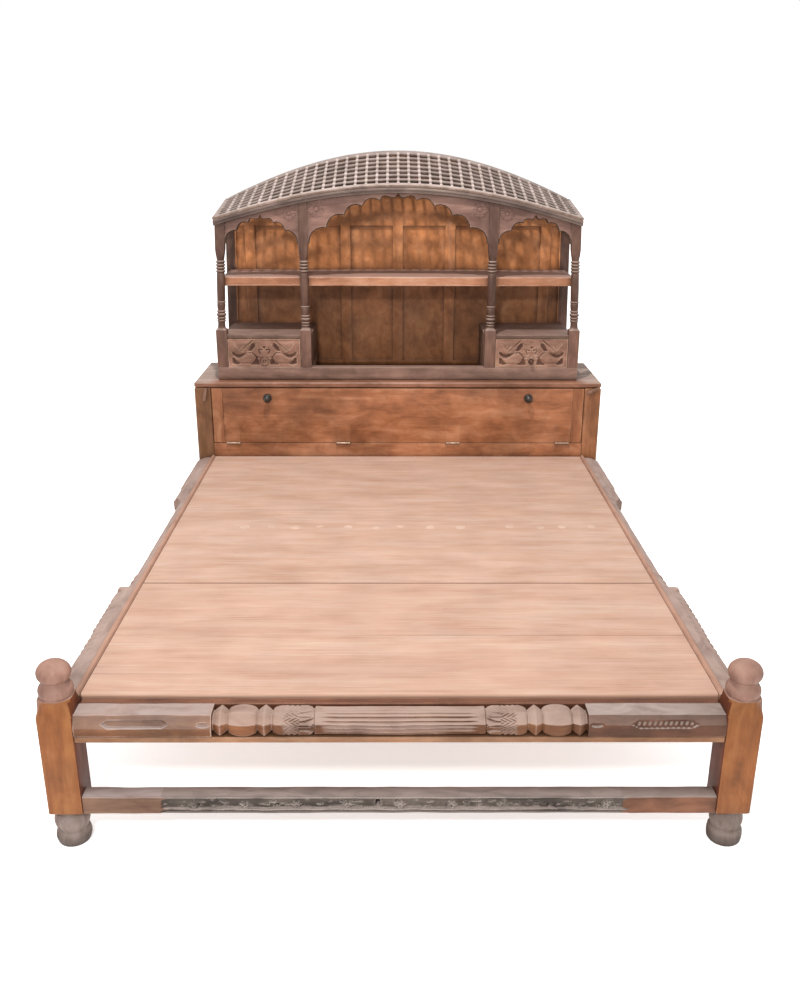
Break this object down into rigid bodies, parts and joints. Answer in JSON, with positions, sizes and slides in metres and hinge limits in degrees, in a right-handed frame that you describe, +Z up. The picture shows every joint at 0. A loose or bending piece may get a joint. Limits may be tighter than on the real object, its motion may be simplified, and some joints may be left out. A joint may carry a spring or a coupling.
{
  "type": "carved storage bed",
  "caption": "Carved teak double bed with turned foot posts, carved pillar rails, a drop-front chest and an arcaded lattice-roofed cabinet at the head.",
  "frame": {"origin": "on the floor under the middle of the bed's bounding box", "axes": "+Z up; the foot of the bed looks along -Y and the head is at +Y; +X is to the right of a viewer at the foot"},
  "size_m": [1.7762, 2.5111, 1.667],
  "materials": {
    "pale_teak": "planed and sanded, matt",
    "oiled_teak": "oiled, satin",
    "worn_carving": "worn old carving, dull satin",
    "grey_teak": "weathered and bleached, matt",
    "dark_cabinet": "dark stained, dull satin",
    "lattice_teak": "greyed, matt",
    "back_boards": "oiled, satin",
    "black_iron": "blackened, satin",
    "aged_hinge": "aged metal, dull"
  },
  "bodies": {
    "frame": {"back_stile_left": "dark_cabinet", "back_stile_right": "dark_cabinet", "bun_foot_left": "grey_teak", "bun_foot_right": "grey_teak", "cabinet_back": "back_boards", "cabinet_base": "dark_cabinet", "cabinet_shelf": "back_boards", "chest_back": "oiled_teak", "chest_back_post_left": "oiled_teak", "chest_back_post_right": "oiled_teak", "chest_bottom": "oiled_teak", "chest_front_post_left": "oiled_teak", "chest_front_post_right": "oiled_teak", "chest_front_rail": "oiled_teak", "chest_side_left": "oiled_teak", "chest_side_right": "oiled_teak", "chest_top": "dark_cabinet", "column_inner_left": "dark_cabinet", "column_inner_right": "dark_cabinet", "column_outer_left": "dark_cabinet", "column_outer_right": "dark_cabinet", "cornice": "dark_cabinet", "drawer_case_left": "dark_cabinet", "drawer_case_right": "dark_cabinet", "foot_back_board": "oiled_teak", "foot_post_left": "oiled_teak", "foot_post_right": "oiled_teak", "foot_rail": "worn_carving", "foot_rail_batten": "oiled_teak", "foot_stretcher": "grey_teak", "platform_front_panel": "pale_teak", "platform_joist_left": "oiled_teak", "platform_joist_right": "oiled_teak", "platform_rear_panel": "pale_teak", "rail_hinge_leaf_1": "aged_hinge", "rail_hinge_leaf_2": "aged_hinge", "rail_hinge_leaf_3": "aged_hinge", "rail_hinge_leaf_4": "aged_hinge", "roof_lattice": "lattice_teak", "side_cleat_left": "worn_carving", "side_cleat_right": "worn_carving", "side_rail_left": "worn_carving", "side_rail_right": "worn_carving", "spandrel_centre": "dark_cabinet", "spandrel_left": "dark_cabinet", "spandrel_right": "dark_cabinet"},
    "flap": {"flap_panel": "oiled_teak", "flap_batten_left": "oiled_teak", "flap_batten_right": "oiled_teak", "flap_knob_left": "black_iron", "flap_knob_right": "black_iron", "flap_hinge_leaf_1": "aged_hinge", "flap_hinge_leaf_2": "aged_hinge", "flap_hinge_leaf_3": "aged_hinge", "flap_hinge_leaf_4": "aged_hinge"},
    "button_left": {"turn_button_left": "lattice_teak"},
    "button_right": {"turn_button_right": "lattice_teak"},
    "drawer_left_body": {"drawer_left": "worn_carving"},
    "drawer_right_body": {"drawer_right": "worn_carving", "drawer_knob": "black_iron"}
  },
  "joints": [
    {"name": "chest_flap", "type": "hinge", "parent": "frame", "child": "flap", "pos_m": [0, 0.8448, 0.4527], "axis": [1, 0, 0], "range_deg": [0, 90]},
    {"name": "turn_button_left", "type": "hinge", "parent": "frame", "child": "button_left", "pos_m": [-0.8321, 0.841, 0.685], "axis": [0, 1, 0], "continuous": true},
    {"name": "turn_button_right", "type": "hinge", "parent": "frame", "child": "button_right", "pos_m": [0.8321, 0.841, 0.685], "axis": [0, 1, 0], "continuous": true},
    {"name": "drawer_left_slide", "type": "slide", "parent": "frame", "child": "drawer_left_body", "axis": [0, -1, 0], "range_m": [0, 0.18]},
    {"name": "drawer_right_slide", "type": "slide", "parent": "frame", "child": "drawer_right_body", "axis": [0, -1, 0], "range_m": [0, 0.18]}
  ]
}
